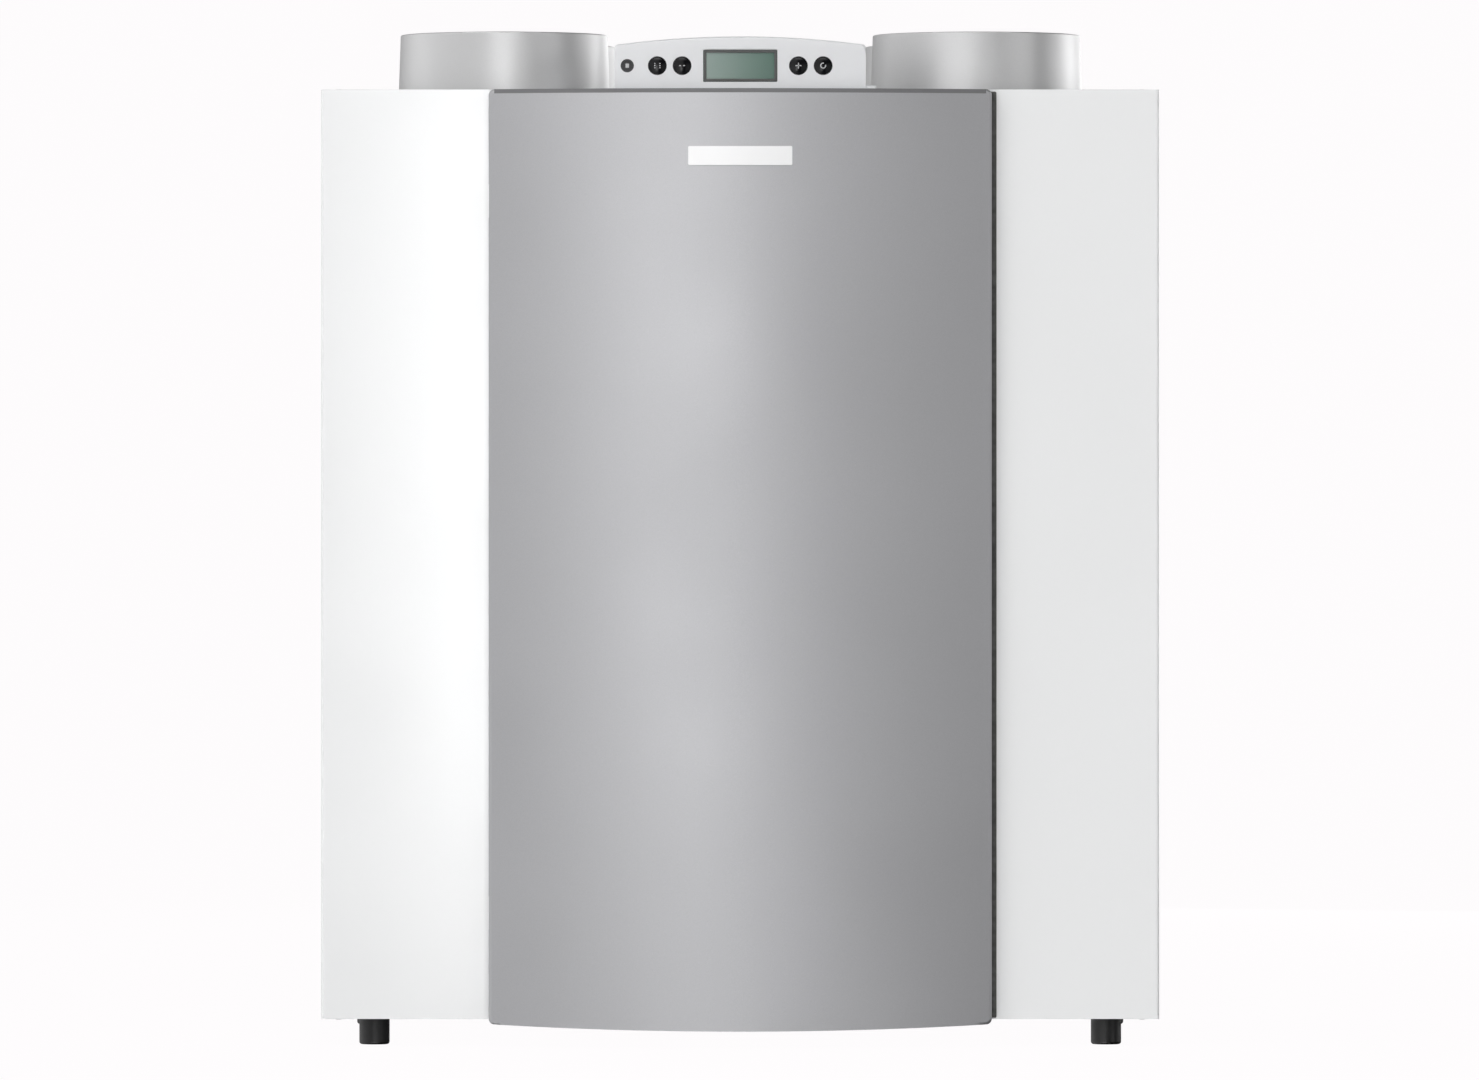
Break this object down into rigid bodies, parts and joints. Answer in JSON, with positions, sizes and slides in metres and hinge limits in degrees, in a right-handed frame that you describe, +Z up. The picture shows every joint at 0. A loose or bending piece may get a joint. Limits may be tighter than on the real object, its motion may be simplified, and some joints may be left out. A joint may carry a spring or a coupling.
{
  "type": "heat recovery ventilation unit",
  "caption": "Upright box that trades heat between exhaust and fresh air: white casing, bowed grey hinged door, round duct collars on top, key panel with display, fans and exchanger inside.",
  "frame": {"origin": "on the floor under the middle of the whole unit, from the badge on the door to the wall rail", "axes": "+Z up, -Y the front with the door and the keys, +X to the right as seen from the front"},
  "size_m": [0.677, 0.5652, 0.8225],
  "materials": {
    "white_steel": "satin",
    "grey_door": "satin",
    "spigot_grey": "satin",
    "control_white": "satin",
    "black_key": "gloss",
    "lcd_green": "gloss",
    "dark_plastic": "matte",
    "black_rubber": "matte",
    "grey_foam": "matte",
    "zinc_steel": "satin",
    "badge_metal": "satin",
    "pale_plastic": "matte",
    "filter_cloth": "matte",
    "board_green": "satin"
  },
  "bodies": {
    "cabinet": {"back_plate": "white_steel", "bottom_plate": "white_steel", "bypass_duct": "pale_plastic", "bypass_motor": "dark_plastic", "cable_gland": "dark_plastic", "condensate_tray": "pale_plastic", "control_board": "board_green", "control_housing": "control_white", "cover_insulation": "grey_foam", "drain_spout": "dark_plastic", "electronics_tray": "zinc_steel", "exchanger_core": "pale_plastic", "exchanger_strap": "dark_plastic", "fan_motor_left": "zinc_steel", "fan_motor_right": "zinc_steel", "fan_scroll_left": "dark_plastic", "fan_scroll_right": "dark_plastic", "filter_cap_left": "dark_plastic", "filter_cap_right": "dark_plastic", "filter_frame_left": "pale_plastic", "filter_frame_right": "pale_plastic", "filter_media_left": "filter_cloth", "filter_media_right": "filter_cloth", "foot_front_left": "black_rubber", "foot_front_right": "black_rubber", "foot_rear_left": "black_rubber", "foot_rear_right": "black_rubber", "front_foam_body": "grey_foam", "hinge_bracket_lower": "zinc_steel", "hinge_bracket_upper": "zinc_steel", "lcd_bezel": "dark_plastic", "lcd_glass": "lcd_green", "left_side_panel": "white_steel", "magnet_catch_lower": "dark_plastic", "magnet_catch_upper": "dark_plastic", "main_board": "board_green", "rear_foam_body": "grey_foam", "right_side_panel": "white_steel", "service_cover": "white_steel", "service_socket": "dark_plastic", "spigot_front_left": "spigot_grey", "spigot_front_right": "spigot_grey", "spigot_rear_left": "spigot_grey", "spigot_rear_right": "spigot_grey", "top_plate": "white_steel", "unit_hanger": "zinc_steel", "wall_buffer_left": "black_rubber", "wall_buffer_right": "black_rubber", "wall_rail": "zinc_steel"},
    "door": {"door_panel": "grey_door", "name_badge": "badge_metal", "door_hinge_pin_lower": "zinc_steel", "door_hinge_pin_upper": "zinc_steel"},
    "menu_button": {"button_menu": "black_key"},
    "minus_button": {"button_minus": "black_key"},
    "plus_button": {"button_plus": "black_key"},
    "reset_button": {"button_reset": "black_key"},
    "extract_fan_wheel": {"fan_impeller_left": "dark_plastic"},
    "supply_fan_wheel": {"fan_impeller_right": "dark_plastic"},
    "bypass_damper": {"bypass_flap": "pale_plastic"}
  },
  "joints": [
    {"name": "door_hinge", "type": "hinge", "parent": "cabinet", "child": "door", "pos_m": [-0.1995, -0.24955, 0.395], "axis": [0, 0, -1], "range_deg": [0, 110]},
    {"name": "menu_press", "type": "slide", "parent": "cabinet", "child": "menu_button", "axis": [0, 1, 0], "range_m": [0, 0.001], "stiffness_N_per_m": 600, "springref_m": -0.001},
    {"name": "minus_press", "type": "slide", "parent": "cabinet", "child": "minus_button", "axis": [0, 1, 0], "range_m": [0, 0.001], "stiffness_N_per_m": 600, "springref_m": -0.001},
    {"name": "plus_press", "type": "slide", "parent": "cabinet", "child": "plus_button", "axis": [0, 1, 0], "range_m": [0, 0.001], "stiffness_N_per_m": 600, "springref_m": -0.001},
    {"name": "reset_press", "type": "slide", "parent": "cabinet", "child": "reset_button", "axis": [0, 1, 0], "range_m": [0, 0.001], "stiffness_N_per_m": 600, "springref_m": -0.001},
    {"name": "extract_fan_spin", "type": "hinge", "parent": "cabinet", "child": "extract_fan_wheel", "pos_m": [-0.1155, 0.0924, 0.1848], "axis": [0, 1, 0], "continuous": true},
    {"name": "supply_fan_spin", "type": "hinge", "parent": "cabinet", "child": "supply_fan_wheel", "pos_m": [0.1155, 0.0924, 0.1848], "axis": [0, 1, 0], "continuous": true},
    {"name": "bypass_turn", "type": "hinge", "parent": "cabinet", "child": "bypass_damper", "pos_m": [-0.07451, 0.01705, 0.54961], "axis": [0.8664, 0, 0.4994], "range_deg": [0, 90]}
  ]
}
